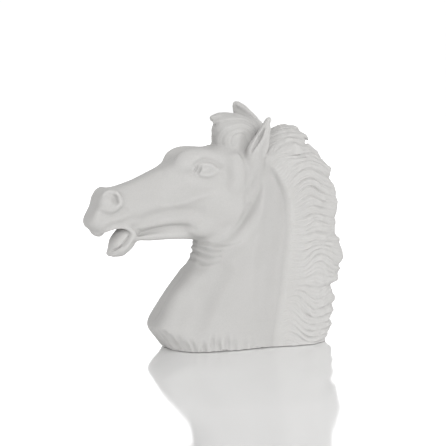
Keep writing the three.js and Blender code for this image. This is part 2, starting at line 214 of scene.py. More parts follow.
class Clay:
    """A distance field on a grid, in design millimetres: negative inside, and which part owns it."""

    def __init__(self, low, high):
        self.low = np.array(low, np.float32)
        self.axes = [np.arange(a, b + VOXEL, VOXEL, dtype=np.float32) for a, b in zip(low, high)]
        shape = [len(a) for a in self.axes]
        self.field = np.full(shape, FAR, np.float32)
        self.owner = np.zeros(shape, np.uint8)

    def window(self, low, high):
        spans = tuple(slice(*np.searchsorted(axis, (a, b))) for axis, a, b in zip(self.axes, low, high))
        x, y, z = (axis[s] for axis, s in zip(self.axes, spans))
        return spans, x[:, None, None], y[None, :, None], z[None, None, :]

    def add(self, spans, distance, blend=0.0, owner=BODY):
        here = self.field[spans]
        self.owner[spans] = np.where(distance < here, owner, self.owner[spans])
        self.field[spans] = smooth_low(here, distance, blend)

    def carve(self, spans, distance, blend=0.0):
        self.field[spans] = cut(self.field[spans], distance, blend)

    def trace_side(self):
        """Notes the outermost x of the surface on the left side, for each y and z."""
        middle = int(np.searchsorted(self.axes[0], 0))
        half = self.field[middle:]
        inside = half < 0
        last = np.minimum(len(half) - 1 - np.argmax(inside[::-1], axis=0), len(half) - 2)
        a = np.take_along_axis(half, last[None], 0)[0]
        b = np.take_along_axis(half, last[None] + 1, 0)[0]
        share = np.clip(a / np.where(a - b == 0, 1, a - b), 0, 1)
        self.side = np.where(inside.any(0), self.axes[0][middle] + (last + share) * VOXEL, 0)

    def ellipsoid(self, centre, radii, tilt=0.0, blend=0.0, owner=BODY, carve=False):
        """Adds or cuts an ellipsoid; tilt lowers its front."""
        reach = max(radii) + blend + 3 * VOXEL
        centre = np.array(centre, np.float32)
        spans, x, y, z = self.window(centre - reach, centre + reach)
        x, y, z = x - centre[0], y - centre[1], z - centre[2]
        y, z = y * np.cos(tilt) + z * np.sin(tilt), z * np.cos(tilt) - y * np.sin(tilt)
        a, b, c = radii
        near = np.sqrt((x / a) ** 2 + (y / b) ** 2 + (z / c) ** 2)
        slope = np.sqrt((x / a**2) ** 2 + (y / b**2) ** 2 + (z / c**2) ** 2)
        distance = near * (near - 1) / np.maximum(slope, 1e-4)
        if carve:
            self.carve(spans, distance, blend)
        else:
            self.add(spans, distance, blend, owner)

    def sweep(self, points, out, widths, heights, blend=0.0, owner=BODY, carve=False, ridges=0, depth=0.0):
        """Adds or cuts a strand along points: oval across, out being the way its height faces."""
        points, out, widths, heights = (np.asarray(a, np.float32) for a in (points, out, widths, heights))
        count = len(points)
        out = np.broadcast_to(out, points.shape)
        widths, heights = (np.broadcast_to(sizes, count) for sizes in (widths, heights))
        reach = float(max(widths.max(), heights.max())) + blend + 2 * VOXEL
        spans, *_ = self.window(points.min(0) - reach, points.max(0) + reach)
        total = np.full([s.stop - s.start for s in spans], FAR, np.float32)
        for i in range(count - 1):
            a, b = points[i], points[i + 1]
            along = b - a
            length = float(np.linalg.norm(along))
            if length < 1e-3:
                continue
            along = along / length
            up = out[i] - along * float(out[i] @ along)
            up = up / max(float(np.linalg.norm(up)), 1e-6)
            side = np.cross(along, up)
            size = float(max(widths[i : i + 2].max(), heights[i : i + 2].max())) + blend + 2 * VOXEL
            part, x, y, z = self.window(np.minimum(a, b) - size, np.maximum(a, b) + size)
            x, y, z = x - a[0], y - a[1], z - a[2]
            run = x * along[0] + y * along[1] + z * along[2]
            place = np.clip(run / length, 0, 1)
            over = run - place * length
            w = widths[i] + (widths[i + 1] - widths[i]) * place
            h = heights[i] + (heights[i + 1] - heights[i]) * place
            u = (x * side[0] + y * side[1] + z * side[2]) / w
            v = (x * up[0] + y * up[1] + z * up[2]) / h
            g = np.sqrt(u * u + v * v + (over / h) ** 2)
            if ridges:
                g = g - depth * np.cos(ridges * np.arctan2(u, v))
            distance = (g - 1) * np.minimum(w, h)
            inner = tuple(slice(p.start - s.start, p.stop - s.start) for p, s in zip(part, spans))
            total[inner] = np.minimum(total[inner], distance)
        if carve:
            self.carve(spans, total, blend)
        else:
            self.add(spans, total, blend, owner)


def curve(points, step=5.0):
    """Points every step or so along a smooth line through the given ones."""
    points = np.asarray(points, float)
    padded = np.vstack([2 * points[0] - points[1], points, 2 * points[-1] - points[-2]])
    found = []
    for i in range(1, len(padded) - 2):
        p0, p1, p2, p3 = padded[i - 1 : i + 3]
        count = max(2, int(np.ceil(np.linalg.norm(p2 - p1) / step)))
        t = np.arange(count)[:, None] / count
        found.append(0.5 * (2 * p1 + (p2 - p0) * t + (2 * p0 - 5 * p1 + 4 * p2 - p3) * t**2
                            + (3 * p1 - p0 - 3 * p2 + p3) * t**3))
    return np.vstack(found + [points[-1:]])


def read_line(table, at):
    return np.interp(at, table[:, 0], table[:, 1])


def profile(table, at, width=14.0):
    """The table's columns at each place, evened out so that no corner shows at its rows."""
    places = np.arange(table[0, 0] - 60, table[-1, 0] + 60, 1.0)
    kernel = np.hanning(int(width * 2) + 1)
    kernel /= kernel.sum()
    columns = []
    for column in table[:, 1:].T:
        fine = np.interp(places, table[:, 0], column)
        fine = np.convolve(np.pad(fine, len(kernel) // 2, mode="edge"), kernel, mode="valid")
        columns.append(np.interp(at, places, fine).astype(np.float32))
    return columns


def taper(count, start, middle, end, rise=0.25, fall=0.3):
    """Sizes along a strand that grow from its start, hold, and shrink to its end."""
    t = np.linspace(0, 1, count)
    return np.interp(t, [0, rise, 1 - fall, 1], [start, middle, middle, end])


def swell(count, least=0.0):
    """Rises softly from least to one and back again."""
    return least + (1 - least) * np.sin(np.pi * np.linspace(0, 1, count)) ** 0.8


def soft_step(value, low, high):
    """Rises softly from 0 to 1 as the value goes from low to high."""
    t = np.clip((value - low) / (high - low), 0, 1)
    return t * t * (3 - 2 * t)


def mirrored(points, side):
    """Points of the left side for side 1, and their mirror image for side -1."""
    return [(side * x, y, z) for x, y, z in points]


def strand(clay, points, side, out, widths, heights, blend, owner=BODY, carve=False, step=4.0):
    """Sweeps along a smooth line; a size of three numbers is its start, its middle and its end."""
    line = curve(mirrored(points, side), step)
    sizes = [taper(len(line), *size) if isinstance(size, tuple) else size for size in (widths, heights)]
    clay.sweep(line, out, *sizes, blend, owner, carve)


def head_point(x, distance, up):
    """A point given along and across the head's axis."""
    c, s = np.cos(HEAD_SLOPE), np.sin(HEAD_SLOPE)
    return HEAD_ORIGIN + np.array((x, -distance * c - up * s, -distance * s + up * c))


# ---------------- masses

def radial(g, radius):
    """About the distance to a surface where g is 1, from the radius at a point."""
    return radius * (1 - 1 / np.maximum(g, 1e-3))


def add_head(clay):
    spans, x, y, z = clay.window((-70, -336, 180), (70, 60, 425))
    c, s = np.cos(HEAD_SLOPE), np.sin(HEAD_SLOPE)
    dy, dz = y - HEAD_ORIGIN[1], z - HEAD_ORIGIN[2]
    distance = -dy * c - dz * s
    up = -dy * s + dz * c
    top, bottom, high, mid, low = profile(HEAD, distance, 10)
    half = (top - bottom) / 2
    v = (up - (top + bottom) / 2) / half
    w = np.clip(v, -1.1, 1.1)
    width = mid + (high - low) / 1.6 * w + ((high + low) / 2 - mid) / 0.64 * w * w
    square = 2.3 + 1.7 * np.clip(v, 0, 1)
    g = ((np.abs(x) / width) ** square + np.abs(v) ** square) ** (1 / square)
    d = radial(g, np.sqrt(x * x + (v * half) ** 2))
    ends = np.maximum(distance - HEAD[-1, 0] - 1, HEAD[0, 0] - distance)
    clay.add(spans, cut(d, -ends.astype(np.float32), 6))


def level_distance(table, x, y, z, grow=0.0):
    """About the distance to a body that is given by its level sections."""
    front, back, width, square, *flare = profile(table, z)
    middle, length = (front + back) / 2, (back - front) / 2 + grow
    v = (y - middle) / length
    across = (width + grow) * (1 + flare[0] * np.clip(v, -1, 1)) if flare else width + grow
    g = ((np.abs(x) / across) ** square + np.abs(v) ** square) ** (1 / square)
    return radial(g, np.sqrt(x * x + (y - middle) ** 2))


def add_neck(clay):
    spans, x, y, z = clay.window((-95, -215, -12), (95, 215, 420))
    clay.add(spans, np.maximum(level_distance(NECK, x, y, z), z - NECK[-1, 0] - 2), 14)


def add_masses(clay):
    add_head(clay)
    add_neck(clay)
    for side in (1, -1):
        clay.ellipsoid(head_point(side * 33, 70, -34), (21, 55, 50), HEAD_SLOPE, blend=9)
        clay.ellipsoid(head_point(side * 32, 124, 63), (14, 34, 22.5), HEAD_SLOPE, blend=14)
        clay.ellipsoid(head_point(side * 46, 40, 22), (12, 30, 36), HEAD_SLOPE, blend=18)
        clay.ellipsoid(head_point(side * 25, 289, 17), (14, 23, 17), HEAD_SLOPE, blend=9)
        clay.ellipsoid(head_point(side * 17, 320, -12), (16, 20, 19), HEAD_SLOPE, blend=8)
        clay.ellipsoid((side * 31, -88, 240), (14, 34, 21), blend=16)
    flatten_muzzle(clay)
    soften(clay.field, 6 if VOXEL < 2 else 3)


def flatten_muzzle(clay):
    """The front of the muzzle is nearly flat, and leans back towards its top."""
    spans, x, y, z = clay.window((-60, -336, 225), (60, -250, 345))
    plane = (y + 283) * -0.872 + (z - 320) * 0.489 + 0.0035 * x * x
    clay.carve(spans, -plane, 9)


# ---------------- detail pressed into the surface

def on_side(clay, line, lift, side):
    """A line given as y, z, laid on the side that was traced last, and raised out of it by lift."""
    fine = curve(line, 4)
    places = [(fine[:, i] - clay.low[1 + i]) / VOXEL for i in range(2)]
    iy, iz = (np.clip(np.round(at).astype(int), 0, n - 1) for at, n in zip(places, clay.side.shape))
    x = clay.side[iy, iz]
    if len(x) > 4:
        x = np.convolve(np.pad(x, 2, mode="edge"), np.ones(5) / 5, mode="valid")
    return np.column_stack([side * (x + lift), fine])


def groove(clay, line, radius, depth, blend):
    """A furrow on both sides, as deep as depth, that fades out at its ends."""
    for side in (1, -1):
        points = on_side(clay, line, 0, side)
        points[:, 0] += side * (radius - depth * swell(len(points)))
        clay.sweep(points, (side, 0, 0), radius, radius, blend, carve=True)


def ridge(clay, line, radius, height, blend):
    """A rounded rise on both sides, as high as height, that fades out at its ends."""
    for side in (1, -1):
        points = on_side(clay, line, 0, side)
        points[:, 0] -= side * (radius - height * swell(len(points)))
        clay.sweep(points, (side, 0, 0), radius, radius, blend)


def model_face(clay):
    clay.trace_side()
    # muscles that run back from the mouth, and the bar of the jaw below them
    for side in (1, -1):
        bar = [(17, -228, 230), (18, -196, 227), (18, -159, 227), (18, -128, 226), (12, -100, 224),
               (4, -80, 226)]
        strand(clay, bar, side, (side, 0, 0), 9.5, 9.5, 12, step=5)
        clay.ellipsoid((side * 12, -215, 237), (13, 18, 13), blend=8)
    line = [(-216, 254), (-200, 262), (-180, 268), (-156, 271), (-130, 271), (-106, 271)]
    groove(clay, line, 15, 3.4, 8)
    line = [(-224, 234), (-212, 237), (-196, 240), (-174, 243), (-144, 243), (-114, 237)]
    groove(clay, line, 8, 4.0, 5)
    ridge(clay, [(-228, 241), (-200, 250), (-170, 256), (-140, 258), (-100, 258)], 10, 2.0, 6)
    # facial crest and the long fold above the lip
    ridge(clay, [(-142, 294), (-122, 300), (-104, 303), (-80, 308)], 10, 3.2, 7)
    ridge(clay, [(-268, 268), (-240, 277), (-200, 287), (-160, 295), (-118, 300)], 16, 1.4, 9)
    groove(clay, [(-294, 273), (-280, 270), (-262, 273), (-248, 281)], 8, 1.6, 6)
    groove(clay, [(-170, 300), (-136, 311), (-106, 321), (-76, 326)], 16, 2.0, 9)
    # the cheek disc's rear and lower edge
    groove(clay, [(-4, 304), (-3, 280), (-8, 256), (-24, 232), (-46, 216), (-76, 207)], 10, 4.6, 6)
    # temple and jaw joint
    groove(clay, [(-60, 374), (-54, 350), (-58, 318)], 17, 2.4, 9)
    ridge(clay, [(-32, 353), (-27, 337), (-31, 320)], 15, 3.6, 8)
    groove(clay, [(-10, 386), (-6, 370), (-1, 348), (-4, 318)], 11, 2.8, 7)


def model_eye(clay):
    clay.trace_side()
    # brow, eyeball and lids
    brow = [(-150, 346), (-134, 358), (-116, 368), (-92, 376), (-68, 373), (-48, 360)]
    ridge(clay, brow, 14, 2.4, 9)
    groove(clay, [(-112, 360), (-98, 368), (-82, 368), (-64, 358)], 6, 1.2, 5)
    groove(clay, [(-124, 342), (-106, 335), (-86, 333), (-64, 340)], 9, 1.2, 6)
    clay.trace_side()
    x = float(on_side(clay, [(-92, 352), (-90, 352)], 0, 1)[0, 0])
    for side in (1, -1):
        clay.ellipsoid((side * (x - 6), -90.5, 351), (9, 13.5, 8.5), 0.1, blend=2)
    ridge(clay, [(-113, 350), (-102, 358.5), (-90, 361), (-78, 358), (-67, 350)], 4.6, 3.0, 2.5)
    ridge(clay, [(-112, 350), (-100, 343.5), (-88, 341), (-77, 343.5), (-67, 350)], 4.4, 2.2, 3)
    groove(clay, [(-114, 346), (-110, 353), (-107, 361)], 2.6, 2.4, 1.5)
    groove(clay, [(-107, 343), (-103, 350), (-100, 359)], 2.4, 2.4, 1.5)


def model_nose(clay):
    for side in (1, -1):
        # rim of the nostril, its pit at the rear, and the flap that fills the rest
        clay.ellipsoid((side * 42, -275, 298), (8.5, 15, 14), 0.3, blend=8, carve=True)
        rim = [(-263, 313), (-258, 303), (-262, 290), (-275, 281), (-291, 285)]
        rim = [(33.5 - 0.12 * abs(y + 262), y, z) for y, z in rim]
        strand(clay, rim, side, (side, 0, 0), (2.5, 4, 2), 3.4, 7)
        rim = [(-264, 312), (-275, 316), (-285, 311), (-289, 301)]
        rim = [(32 - 0.2 * abs(y + 264), y, z) for y, z in rim]
        strand(clay, rim, side, (side, 0, 0), (2.5, 3.6, 2), 3.2, 7)
        clay.ellipsoid((side * 27, -281, 295), (12.5, 14.5, 14), 0.3, blend=6)
        clay.ellipsoid((side * 38.5, -266.5, 301), (7.5, 4.4, 8.5), 0.4, blend=5, carve=True)
        # shallow plane between the nostril and the lip
        clay.ellipsoid((side * 46, -284, 268), (10, 16, 9), 0.5, blend=9, carve=True)
    # the top of the muzzle, nearly level from one nostril to the other
    bridge = [(-23, -272, 311), (-12, -270, 313), (12, -270, 313), (23, -272, 311)]
    strand(clay, bridge, 1, (0, 0, 1), 7, 5, 7)
    # groove down the front of the upper lip
    furrow = [(0, -300, 306), (0, -318, 280), (0, -325, 262)]
    strand(clay, furrow, 1, (0, -1, 0), 6, 4.5, 5, carve=True, step=5)


# The folds are cut by a round bar of this radius, whose middle runs this far over the surface
FOLD_RADIUS, FOLD_LIFT = 3.2, 1.1


def model_throat(clay):
    clay.trace_side()
    folds = [
        [(-97, 208), (-86, 207), (-70, 205), (-46, 206), (-24, 210)],
        [(-98, 200), (-91, 197), (-80, 194), (-62, 193.5)],
        [(-98, 187), (-91, 183), (-80, 181), (-62, 183)],
        [(-102, 173), (-95, 168.5), (-84, 167.5), (-64, 171)],
    ]
    for fold in folds:
        y, z = fold[0]
        for side in (1, -1):
            points = on_side(clay, fold, FOLD_LIFT, side)
            front = [(side * 10, y - 1, z + 1), (0, y - 2, z + 1.5)]
            line = curve(np.vstack([points[::-1][::3], np.array(front)]), 4)
            radii = taper(len(line), 0.6, FOLD_RADIUS, 2, 0.5, 0.15)
            clay.sweep(line, (side, 0, 0), radii, radii, 4, carve=True)


def model_neck(clay):
    clay.trace_side()
    # hollow below the ear that opens down the neck, with a muscle in front of and behind it
    groove(clay, [(33, 388), (30, 350), (23, 318), (11, 282), (-6, 250), (-34, 222)], 15, 6.5, 8)
    ridge(clay, [(40, 360), (36, 310), (20, 264), (-12, 222), (-62, 180)], 17, 4.5, 9)
    groove(clay, [(52, 362), (53, 320), (50, 270), (38, 216), (22, 150), (14, 60)], 24, 6.5, 12)
    ridge(clay, [(20, 392), (22, 358), (16, 320), (4, 290)], 9, 3.0, 7)
    # breast muscle
    ridge(clay, [(-100, 130), (-132, 94), (-158, 50)], 24, 3.0, 14)
    groove(clay, [(-66, 160), (-100, 108), (-126, 50)], 24, 2.6, 14)


# ---------------- mouth

def model_mouth(clay):
    clay.ellipsoid((0, -254, 236), (20, 26, 10), 0.35, blend=4, carve=True)
    clay.ellipsoid((0, -239, 235), (26, 10, 8), 0.2, blend=5, carve=True)
    clay.ellipsoid((0, -222, 236), (21, 13, 13), blend=5)
    for side in (1, -1):
        clay.ellipsoid((side * 16, -234, 256), (10, 18, 10), 0.2, blend=8)
        lip = [(12, -296, 238), (19, -283, 242), (22.5, -266, 247), (25, -249, 248), (26, -237, 243),
               (25, -230, 235), (22, -230, 226)]
        strand(clay, lip, side, (side, 0, 0), (3, 3.8, 3.6), (3, 3.8, 3.6), 8)
    droplet = [(0, -303, 244), (0, -297, 237), (0, -289, 234), (0, -281, 238)]
    strand(clay, droplet, 1, (0, 0, 1), (6, 12, 6), (4, 6, 4), 4, step=3)


def add_jaw(clay):
    """The chin and the lower lip, hanging from the corner of the mouth."""
    up = (0, -0.6, 0.8)
    body = [(0, -225, 221), (0, -236, 209), (0, -248, 200), (0, -260, 196.5)]
    strand(clay, body, 1, up, (20, 21, 14), (10, 11.5, 9), 6, JAW)
    for side in (1, -1):
        rim = [(24, -229, 230), (22.5, -236, 218), (20, -243, 208), (17, -254, 202), (9, -265, 195),
               (0, -269, 196)]
        strand(clay, rim, side, up, (4, 4.4, 5), (4, 4.4, 5), 4, JAW)


def add_tongue(clay):
    up = (0, -0.75, 0.65)
    line = [(0, -227, 239), (0, -241, 233), (0, -254, 219), (0, -263, 201.5)]
    strand(clay, line, 1, up, (20, 20, 12), (11, 12.5, 9.5), 2.5, TONGUE)
    for side in (1, -1):
        flank = [(14, -228, 234), (14, -242, 224), (12, -254, 212)]
        strand(clay, flank, side, up, 8.5, 9.5, 5, TONGUE, step=3)
    crease = [(0, -252, 244), (0, -267, 230), (0, -274, 212)]
    strand(clay, crease, 1, up, 3, 2.4, 4, carve=True)
    for side in (1, -1):
        seam = [(22, -237, 231), (21, -246, 218), (17.5, -256, 208), (11, -268, 201)]
        seam = curve(mirrored(seam, side), 3)
        size = swell(len(seam), 0.3) * 1.6
        clay.sweep(seam, (side, 0, 0), size, size, 2.5, carve=True)


# ---------------- ears and forelock

def add_ear(clay, line, opening, widths, depths, slit, owner):
    """A leaf with a rolled rim, hollowed on its open side by a slit that starts above its root."""
    line = curve(line, 3)
    opening = np.array(opening, float) / np.linalg.norm(opening)
    t = np.linspace(0, 1, len(line))
    w, h = (np.interp(t, [0, 0.25, 0.55, 0.8, 0.93, 1], sizes) for sizes in (widths, depths))
    clay.sweep(line, opening, w, h, 6, owner)
    keep = (t > slit[0]) & (t < slit[1])
    inner = line[keep] + opening * (h[keep] * 0.8)[:, None]
    narrow = np.sin(np.pi * np.linspace(0.06, 0.94, keep.sum())) ** 0.6
    clay.sweep(inner, opening, w[keep] * 0.42 * narrow, h[keep] * 0.95 * narrow, 3, carve=True)


def add_ears(clay):
    line = [(42, 4, 366), (47, 9, 386), (50, 17, 402), (53, 27, 421), (55, 35, 440), (55, 38, 446)]
    widths, depths = [9, 11, 10.5, 8.5, 6, 3.5], [9, 10, 8, 7, 6, 3.5]
    add_ear(clay, line, (0.8, -0.6, 0), widths, depths, (0.1, 0.76), EAR_LEFT)
    clay.ellipsoid((41, 16, 366), (12, 15, 34), blend=16)
    back = [(44, 30, 376), (48, 33, 392), (51, 34, 408), (54, 36, 428)]
    strand(clay, back, 1, (1, 0, 0), (6, 7.5, 4.5), (6, 6.5, 4), 7, EAR_LEFT, step=3)
    line = [(-38, 52, 380), (-42, 48, 404), (-46, 40, 428), (-49, 29, 450), (-50, 17, 468), (-50, 12, 474)]
    widths, depths = [22, 24, 21.5, 15.5, 10, 5], [12, 11, 9, 7, 5, 3]
    add_ear(clay, line, (-0.96, 0.2, 0.1), widths, depths, (0.15, 0.95), EAR_RIGHT)
    clay.ellipsoid((-36, 50, 380), (14, 24, 24), blend=12, owner=EAR_RIGHT)
    # the raised border on the back of the farther ear
    border = [(-38.5, 60, 435), (-40.5, 47, 449), (-42.5, 31, 461), (-44.5, 16, 471)]
    strand(clay, border, 1, (1, 0, 0), 3, 2.8, 5, EAR_RIGHT, step=3)


def add_forelock(clay):
    """A cap of hair combed forward over itself, with fine arcs about the middle of each side."""
    spans, x, y, z = clay.window((-52, -80, 350), (52, 62, 478))
    cap = np.sqrt((x / 37) ** 2 + (np.abs(y + 17) / 39.5) ** 2.3 + (np.abs(z - 408) / 48) ** 2.5)
    radius = np.sqrt(x * x + (y + 17) ** 2 + (z - 408) ** 2)
    distance = radial(cap, radius)
    rear = np.sqrt((x / 33) ** 2 + ((y - 22) / 36) ** 2 + ((z - 412) / 36) ** 2)
    rear = radial(rear, np.sqrt(x * x + (y - 22) ** 2 + (z - 412) ** 2))
    distance = smooth_low(distance, rear, 14)
    turn = np.sqrt((y + 15 + 0.05 * x) ** 2 + (z - 402) ** 2)
    wave = turn + 1.6 * np.sin(y / 11 + x / 9) + 0.08 * np.abs(x)
    arcs = 0.7 * np.cos(wave * 2 * np.pi / 12.5) + 0.45 * np.cos(wave * 2 * np.pi / 5 + x / 12)
    distance = distance - arcs * soft_step(turn, 4, 16) * soft_step(z + 0 * x, 384, 404)
    clay.add(spans, distance.astype(np.float32), 5, FORELOCK)
    for side in (1, -1):
        clay.ellipsoid((side * 47, 0, 405), (15, 10, 24), -0.35, blend=13, carve=True)
    tips = [
        [(3, -14, 449), (3, -32, 451), (2, -48, 450), (0, -58, 448)],
        [(-8, -14, 448), (-8, -30, 449), (-5, -46, 447), (-2, -56, 445)],
        [(14, -18, 444), (13, -34, 445), (9, -46, 442), (4, -54, 439)],
        [(20, -28, 434), (17, -42, 432), (11, -48, 426), (5, -51, 418)],
        [(-20, -26, 436), (-17, -40, 432), (-10, -48, 424), (-4, -51, 416)],
    ]
    for lock in tips:
        line = curve(lock, 4)
        out = line - np.array((0, -12, 402))
        out /= np.linalg.norm(out, axis=1)[:, None]
        widths = taper(len(line), 7, 9, 5.5)
        clay.sweep(line, out, widths, widths * 0.75, 4, FORELOCK, ridges=6, depth=0.05)


# ---------------- mane

LOCK_COLUMNS = np.arange(10.0, 310.0, 2.0)  # places along a lock, from the edge round to the back
LOCK_LEVELS = np.arange(-40.0, 470.0, 1.5)
MANE_DEPTH = 6.0  # the deepest that a notch goes into the mane form
MANE_REACH = 16.0  # how near the form's surface the relief is worked out


def lock_place(x, y, z):
    """Where a point of the mane lies along its lock, and across the locks."""
    width = profile(MANE_FORM, z)[2]
    along = y + 0.85 * np.maximum(width - np.abs(x), 0)
    across = z - 0.8 * np.abs(x) * soft_step(z, 370, 415)
    return along, across


def mane_side(y, z):
    """The half width of the mane form at places on its side."""
    front, back, width, square, flare = profile(MANE_FORM, z)
    v = np.clip((y - (front + back) / 2) / ((back - front) / 2), -0.98, 0.98)
    return width * (1 + flare * v) * (1 - np.abs(v) ** square) ** (1 / square)


def lock_numbers(rng, stray):
    """A table of lock numbers: whole at each lock's crest, and halfway between at the creases."""
    heights = []
    for lock in LOCKS:
        line = curve(lock, 4)
        along, across = lock_place(mane_side(line[:, 0], line[:, 1]), line[:, 0], line[:, 1])
        order = np.argsort(along)
        along, across = along[order], across[order]
        start = across[0] - 0.25 * (along[0] - LOCK_COLUMNS[0])
        end = across[-1] - 0.12 * (LOCK_COLUMNS[-1] - along[-1])
        along = np.concatenate([[LOCK_COLUMNS[0]], along, [LOCK_COLUMNS[-1]]])
        across = np.concatenate([[start], across, [end]])
        drift = np.interp(LOCK_COLUMNS, np.linspace(10, 310, 7), rng.uniform(-stray, stray, 7))
        heights.append(np.interp(LOCK_COLUMNS, along, across) + drift)
    heights = np.array(heights)
    for i in range(1, len(heights)):
        heights[i] = np.minimum(heights[i], heights[i - 1] - 5.0)
    kernel = np.hanning(13)[1:-1]
    kernel /= kernel.sum()
    heights = np.array([np.convolve(np.pad(h, 5, mode="edge"), kernel, mode="valid") for h in heights])
    rows = []
    for column in heights.T:
        levels = np.concatenate([[column[0] + 60], column, [column[-1] - 60]])
        numbers = np.concatenate([[-5], np.arange(len(column)), [len(column) + 4]])
        rows.append(np.interp(LOCK_LEVELS, levels[::-1], numbers[::-1]))
    return np.array(rows, np.float32)


def look_up(table, row, column):
    """Values of a table between its entries; row and column are fractional places in it."""
    row = np.clip(row, 0, table.shape[0] - 1.001)
    column = np.clip(column, 0, table.shape[1] - 1.001)
    i, j = row.astype(int), column.astype(int)
    a, b = row - i, column - j
    return ((table[i, j] * (1 - b) + table[i, j + 1] * b) * (1 - a)
            + (table[i + 1, j] * (1 - b) + table[i + 1, j + 1] * b) * a)


def lock_number(table, along, across):
    row = (along - LOCK_COLUMNS[0]) / (LOCK_COLUMNS[1] - LOCK_COLUMNS[0])
    column = (across - LOCK_LEVELS[0]) / (LOCK_LEVELS[1] - LOCK_LEVELS[0])
    return look_up(table, row, column)


def back_relief(table):
    """How far each lock stands out at the back, so that the outline keeps its steps and notches."""
    z = np.arange(-8.0, 424.0, 1.0)
    front, back, width, square, flare = profile(MANE_FORM, z)
    turn = np.linspace(0, np.pi / 2, 60)[:, None]
    side, rear = np.cos(turn) ** (2 / square), np.sin(turn) ** (2 / square)
    x = width * (1 + flare * rear) * side
    y = (front + back) / 2 + (back - front) / 2 * rear
    reach = OUTLINE_RIGHT[0] * x + OUTLINE_RIGHT[1] * y
    edge = reach.argmax(0), np.arange(len(z))
    wanted = read_line(MANE_SILHOUETTE, z)
    numbers = lock_number(table, *lock_place(x[edge], y[edge], z))
    order = np.argsort(numbers)
    return numbers[order], (wanted - reach[edge])[order]


def mane_relief(x, y, z, tables, relief, waves):
    """Height of the carved hair over the mane form, at points near its surface."""
    front, back, width = profile(MANE_FORM, z)[:3]
    along, across = lock_place(x, y, z)
    left, right = (lock_number(table, along, across) for table in tables)
    other = soft_step(-x, -14, 14)
    number = left + (right - left) * other
    nearest = np.floor(number + 0.5)
    offset = number - nearest
    crest = np.cos(np.pi * np.clip(offset - 0.06 * np.sin(2 * np.pi * offset), -0.5, 0.5)) ** 0.75
    crease = np.exp(-(((0.5 - np.abs(offset)) / 0.12) ** 2))
    edge = read_line(MANE_EDGE, z)
    inward = soft_step(along - edge, 9, 64)
    row = np.clip(nearest + 3, 0, waves.shape[1] - 2)
    column = np.clip(along / 20, 0, waves.shape[2] - 1.001)
    lift = look_up(waves[0], row, column) * (1 - other) + look_up(waves[1], row, column) * other
    lift = lift * (1 + 0.4 * np.sin(along / 5.5 + 2.4 * nearest) * soft_step(along - edge, 20, 60))
    cut = look_up(waves[2], np.clip(np.floor(number) + 3, 0, waves.shape[1] - 2), column)
    split = look_up(waves[3], row, column)
    strand = np.cos(2 * np.pi * (3 * number + 0.35 * np.sin(along / 17 + nearest)))
    halves = np.exp(-((offset / 0.12) ** 2)) * split
    locks = (0.3 + 2.7 * inward) * lift * crest - (0.2 + 1.8 * inward) * (cut * crease + 0.8 * halves)
    at_back = soft_step(1 - np.abs(x) / width, 0.1, 0.5) * soft_step(y - (front + back) / 2, 10, 50)
    outline = np.interp(number, *relief)
    return (locks * (1 - 0.75 * at_back) + (outline - 0.4) * at_back
            + 0.46 * strand * (1 - 0.4 * crease))


def add_mane(clay):
    rng = np.random.default_rng(7)
    tables = [lock_numbers(rng, 0.0), lock_numbers(rng, 4.0)]
    relief = back_relief(tables[0])
    waves = rng.uniform(0.0, 1.0, (4, len(LOCKS) + 8, 17))
    waves[:2] = 0.25 + 1.3 * waves[:2]
    waves[2:] = np.clip(waves[2:] * 2.2 - 1.1, 0, 1)
    spans, x, y, z = clay.window((-110, 20, -12), (110, 245, 440))
    crest = read_line(MANE_CREST, y) - x * x / 60
    form = cut(level_distance(MANE_FORM, x, y, z), (crest - z) * 0.8, 7)
    form = smooth_low(form.astype(np.float32), clay.field[spans] - 3.2, 5)
    core = form + MANE_DEPTH
    near = np.nonzero(np.abs(form) < MANE_REACH)
    places = [np.broadcast_to(axis, form.shape)[near] for axis in (x, y, z)]
    form[near] -= mane_relief(*places, tables, relief, waves)
    form = np.minimum(form, core)
    edge = read_line(MANE_EDGE, z).astype(np.float32) - y
    clay.add(spans, cut(form, -edge, 12).astype(np.float32), 7, MANE)
    # enough body behind the deepest notch to cover the dowels' ends
    for side in (1, -1):
        clay.ellipsoid((side * 36, 187, 78), (9, 12, 10), blend=5, owner=MANE)
    # the tuft at the poll ends in a point over a notch
    for side in (1, -1):
        tuft = [(24, 96, 412), (18, 122, 411), (9, 138, 407), (0, 147, 403)]
        strand(clay, tuft, side, (0, 0.3, 1), (6, 8, 4), (4, 5, 3), 4, MANE)
        notch = [(40, 112, 395), (27, 134, 396), (0, 146, 397)]
        strand(clay, notch, side, (0, 1, 0), (1, 3.5, 4), 3.5, 3, carve=True)


# ---------------- lower edge

EDGE_HEIGHT = 0.6  # of the cast's lower edge above the ground
WALL = 14.0
RECESS_TOP = 50.0  # above the board and the screw blocks


def outline_point(z, turn):
    """A point on the neck's outline at a height, and its outward direction; turn 0 is the left side.

    Along the sides a fixed turn stays above the same spot of ground.
    """
    front, back, width, square = profile(NECK, np.array([z, 0.0]))
    middle, half = (front + back) / 2, (back - front) / 2
    across, along = np.cos(turn), np.sin(turn)
    share = np.sign(along) * abs(along) ** (2 / square[0])
    shift = middle[1] - middle[0] + share * (half[1] - half[0])
    share += shift / half[0] * (1 - share**2)
    x = width[0] * np.sign(across) * (1 - abs(share) ** square[0]) ** (1 / square[0])
    out = np.array((across / width[0], along / half[0], 0))
    return np.array((x, middle[0] + half[0] * share, z)), out / np.linalg.norm(out)


